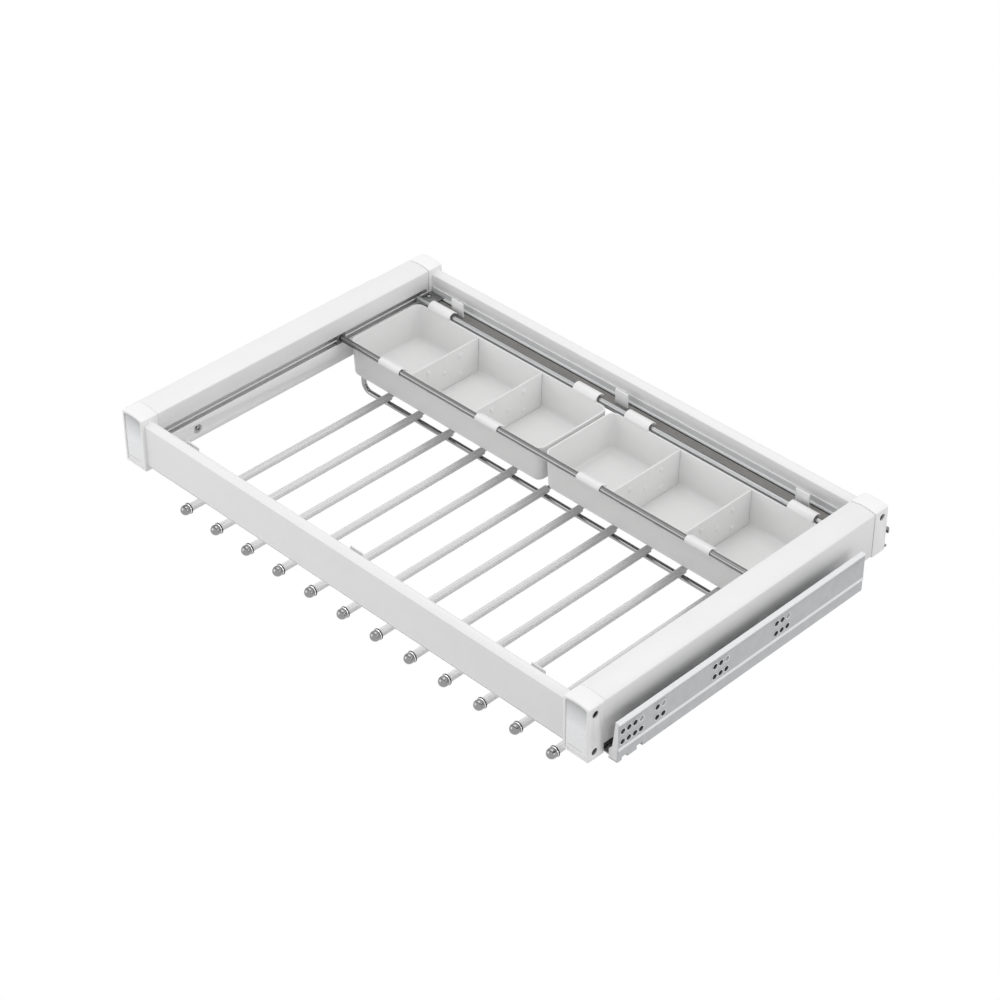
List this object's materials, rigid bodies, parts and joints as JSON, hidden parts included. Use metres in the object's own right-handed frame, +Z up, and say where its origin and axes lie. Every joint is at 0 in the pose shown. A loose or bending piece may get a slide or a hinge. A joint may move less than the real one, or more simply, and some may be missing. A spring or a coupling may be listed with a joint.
{
  "type": "pull out trouser rack",
  "caption": "Pull-out wardrobe rack with parallel trouser bars under a white frame, lift-out divided trays at the back and full-extension side runners.",
  "frame": {"origin": "centre of the overall box: midway between the two cabinet walls, midway from front blocks to rear hooks, midway from rail tops to the lowest wire", "axes": "+X to the right seen from the front, +Y into the cabinet, +Z up; the rack is pulled out along -Y"},
  "size_m": [0.8, 0.497, 0.1358],
  "materials": {
    "rail_paint": "satin powder coat, warm white",
    "block_plastic": "satin moulded white",
    "plate_metal": "brushed, bright silver",
    "screw_steel": "zinc plated",
    "ribbed_aluminium": "dark anodised, finely ribbed",
    "chrome": "polished chrome plate",
    "dark_plastic": "matt",
    "dark_steel": "dark zinc",
    "clip_plastic": "satin white",
    "sleeve_plastic": "soft matt white",
    "tray_plastic": "fine matt light grey",
    "runner_steel": "galvanised",
    "cap_plastic": "light grey"
  },
  "bodies": {
    "cabinet_side": {"cabinet_profile_left": "runner_steel", "cabinet_profile_right": "runner_steel", "runner_cap_left": "cap_plastic", "runner_cap_right": "cap_plastic"},
    "rack": {"side_rail_left": "rail_paint", "side_rail_right": "rail_paint", "front_rail": "rail_paint", "rear_rail": "rail_paint", "front_block_left": "block_plastic", "front_block_right": "block_plastic", "rear_block_left": "block_plastic", "rear_block_right": "block_plastic", "front_plate_left": "plate_metal", "front_plate_right": "plate_metal", "corner_screws": "screw_steel", "rail_screws": "screw_steel", "runner_rivets": "screw_steel", "wire_feet": "screw_steel", "rear_latches": "screw_steel", "tray_rail": "ribbed_aluminium", "tray_bar": "chrome", "front_cross_wire": "chrome", "rear_cross_wire": "chrome", "trouser_rods": "chrome", "bar_knobs": "chrome", "tray_bar_plugs": "dark_plastic", "corner_bracket_left": "dark_steel", "corner_bracket_right": "dark_steel", "rear_clips": "clip_plastic", "front_clips": "clip_plastic", "sleeve_01": "sleeve_plastic", "sleeve_02": "sleeve_plastic", "sleeve_03": "sleeve_plastic", "sleeve_04": "sleeve_plastic", "sleeve_05": "sleeve_plastic", "sleeve_06": "sleeve_plastic", "sleeve_07": "sleeve_plastic", "sleeve_08": "sleeve_plastic", "sleeve_09": "sleeve_plastic", "sleeve_10": "sleeve_plastic", "sleeve_11": "sleeve_plastic", "sleeve_12": "sleeve_plastic", "drawer_profile_left": "runner_steel", "drawer_profile_right": "runner_steel"},
    "middle_left": {"middle_profile_left": "runner_steel"},
    "middle_right": {"middle_profile_right": "runner_steel"},
    "lower_rollers_left": {"lower_cage_left": "dark_plastic"},
    "lower_rollers_right": {"lower_cage_right": "dark_plastic"},
    "upper_rollers_left": {"upper_cage_left": "dark_plastic"},
    "upper_rollers_right": {"upper_cage_right": "dark_plastic"},
    "left_tray": {"tray_left": "tray_plastic", "divider_1": "tray_plastic", "divider_2": "tray_plastic", "left_front_hooks": "clip_plastic", "left_rear_hooks": "clip_plastic"},
    "right_tray": {"tray_right": "tray_plastic", "divider_3": "tray_plastic", "divider_4": "tray_plastic", "right_front_hooks": "clip_plastic", "right_rear_hooks": "clip_plastic"}
  },
  "joints": [
    {"name": "rack_pull_out", "type": "slide", "parent": "cabinet_side", "child": "rack", "axis": [0, -1, 0], "range_m": [0, 0.38]},
    {"name": "middle_left_slide", "type": "slide", "parent": "cabinet_side", "child": "middle_left", "axis": [0, -1, 0], "range_m": [0, 0.19]},
    {"name": "lower_rollers_left_roll", "type": "slide", "parent": "cabinet_side", "child": "lower_rollers_left", "axis": [0, -1, 0], "range_m": [0, 0.095]},
    {"name": "upper_rollers_left_roll", "type": "slide", "parent": "cabinet_side", "child": "upper_rollers_left", "axis": [0, -1, 0], "range_m": [0, 0.285]},
    {"name": "middle_right_slide", "type": "slide", "parent": "cabinet_side", "child": "middle_right", "axis": [0, -1, 0], "range_m": [0, 0.19]},
    {"name": "lower_rollers_right_roll", "type": "slide", "parent": "cabinet_side", "child": "lower_rollers_right", "axis": [0, -1, 0], "range_m": [0, 0.095]},
    {"name": "upper_rollers_right_roll", "type": "slide", "parent": "cabinet_side", "child": "upper_rollers_right", "axis": [0, -1, 0], "range_m": [0, 0.285]},
    {"name": "left_tray_lift", "type": "slide", "parent": "rack", "child": "left_tray", "axis": [0, 0, 1], "range_m": [0, 0.09]},
    {"name": "right_tray_lift", "type": "slide", "parent": "rack", "child": "right_tray", "axis": [0, 0, 1], "range_m": [0, 0.09]}
  ],
  "couplings": [
    {"joint": "middle_left_slide", "follows": "rack_pull_out", "ratio": 0.5},
    {"joint": "lower_rollers_left_roll", "follows": "rack_pull_out", "ratio": 0.25},
    {"joint": "upper_rollers_left_roll", "follows": "rack_pull_out", "ratio": 0.75},
    {"joint": "middle_right_slide", "follows": "rack_pull_out", "ratio": 0.5},
    {"joint": "lower_rollers_right_roll", "follows": "rack_pull_out", "ratio": 0.25},
    {"joint": "upper_rollers_right_roll", "follows": "rack_pull_out", "ratio": 0.75}
  ]
}
